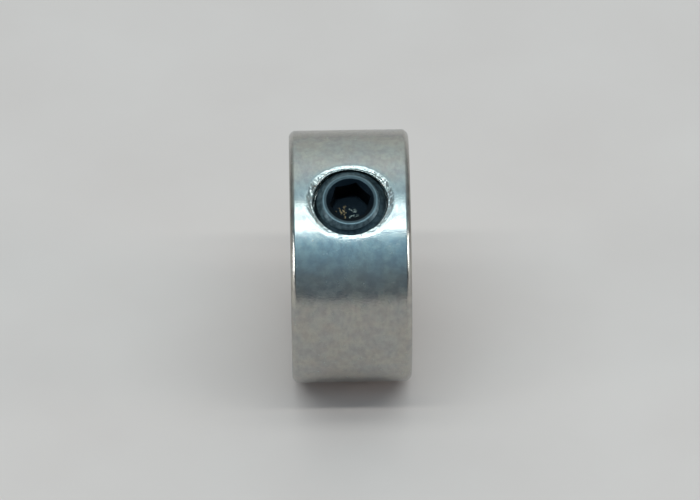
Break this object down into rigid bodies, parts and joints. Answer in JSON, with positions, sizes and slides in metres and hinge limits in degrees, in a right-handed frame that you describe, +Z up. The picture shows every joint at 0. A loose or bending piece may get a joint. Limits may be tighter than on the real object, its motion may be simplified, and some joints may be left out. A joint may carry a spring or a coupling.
{
  "type": "shaft collar",
  "caption": "Solid steel ring that clamps on a round shaft with a hex socket set screw in a countersunk tapped hole through its wall.",
  "frame": {"origin": "the middle of the bore, on its axis and half-way along the ring's width", "axes": "+X along the bore; +Z up with the ring standing on its rim; the set screw leans 23.5 degrees from +Z towards -Y, the front"},
  "size_m": [0.0066, 0.014, 0.014],
  "materials": {
    "plated_steel": "satin nickel or zinc plating on turned steel",
    "black_oxide": "black oxide, slightly oily"
  },
  "bodies": {
    "ring": {"collar_ring": "plated_steel"},
    "screw": {"set_screw": "black_oxide"}
  },
  "joints": [
    {"name": "screw_travel", "type": "slide", "parent": "ring", "child": "screw", "axis": [0, -0.3987, 0.9171], "range_m": [-0.0014, 0.0028]}
  ]
}
